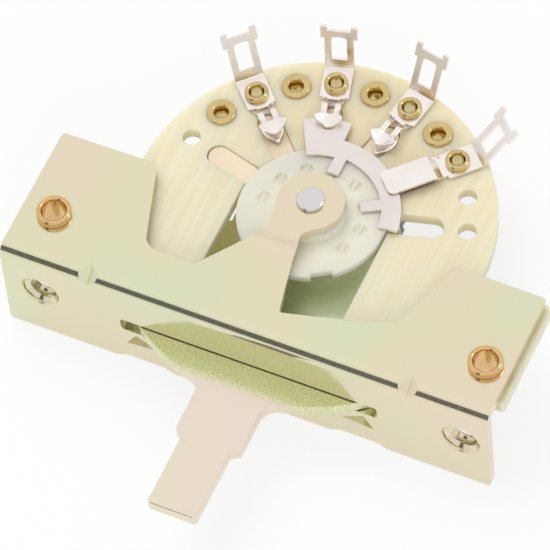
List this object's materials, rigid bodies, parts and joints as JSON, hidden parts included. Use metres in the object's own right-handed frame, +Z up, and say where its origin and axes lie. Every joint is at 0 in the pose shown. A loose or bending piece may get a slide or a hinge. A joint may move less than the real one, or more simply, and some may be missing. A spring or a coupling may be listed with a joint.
{
  "type": "guitar pickup selector switch",
  "caption": "Lever selector switch for guitar pickups: a folded bracket with a slotted plate, a turning lever and rotor, and a wafer with solder terminals.",
  "frame": {"origin": "midway between the two mounting screws' axes, on the front face of the bracket's plate", "axes": "+X along the bracket, +Y back from the front face towards the terminals, +Z up, from the lever towards the flange"},
  "size_m": [0.048, 0.0491, 0.0153],
  "materials": {
    "zinc_plate": "bright zinc plate with a pale yellow passivation",
    "lever_plate": "bright zinc plate, slightly grained",
    "wafer_board": "translucent pale yellow laminate, satin",
    "rotor_nylon": "translucent natural nylon, satin",
    "silver_contact": "silver plate over brass",
    "eyelet_brass": "bright brass, rolled",
    "arm_brass": "coppery brass, rolled",
    "rivet_steel": "bright turned steel",
    "spacer_fibre": "vulcanised fibre",
    "spring_steel": "drawn spring wire"
  },
  "bodies": {
    "frame": {"bracket": "zinc_plate", "wafer": "wafer_board", "left_spacer": "spacer_fibre", "right_spacer": "spacer_fibre", "left_wafer_eyelet": "arm_brass", "right_wafer_eyelet": "arm_brass", "pivot_rivet": "rivet_steel", "detent_spring": "spring_steel", "upper_terminal_1": "silver_contact", "lower_terminal_1": "silver_contact", "upper_eyelet_1": "eyelet_brass", "lower_eyelet_1": "eyelet_brass", "upper_terminal_2": "silver_contact", "lower_terminal_2": "silver_contact", "upper_eyelet_2": "eyelet_brass", "lower_eyelet_2": "eyelet_brass", "upper_terminal_3": "silver_contact", "lower_terminal_3": "silver_contact", "upper_eyelet_3": "eyelet_brass", "lower_eyelet_3": "eyelet_brass", "upper_terminal_4": "silver_contact", "lower_terminal_4": "silver_contact", "upper_eyelet_4": "eyelet_brass", "lower_eyelet_4": "eyelet_brass"},
    "lever": {"lever": "lever_plate", "rotor": "rotor_nylon", "upper_blade": "silver_contact", "lower_blade": "silver_contact"},
    "roller": {"detent_roller": "eyelet_brass"}
  },
  "joints": [
    {"name": "lever_turn", "type": "hinge", "parent": "frame", "child": "lever", "pos_m": [0, 0.0146, 0], "axis": [0, 0, 1], "range_deg": [-30, 30]},
    {"name": "roller_drop", "type": "slide", "parent": "frame", "child": "roller", "axis": [0, -1, 0], "range_m": [0, 0.00045], "stiffness_N_per_m": 100}
  ]
}
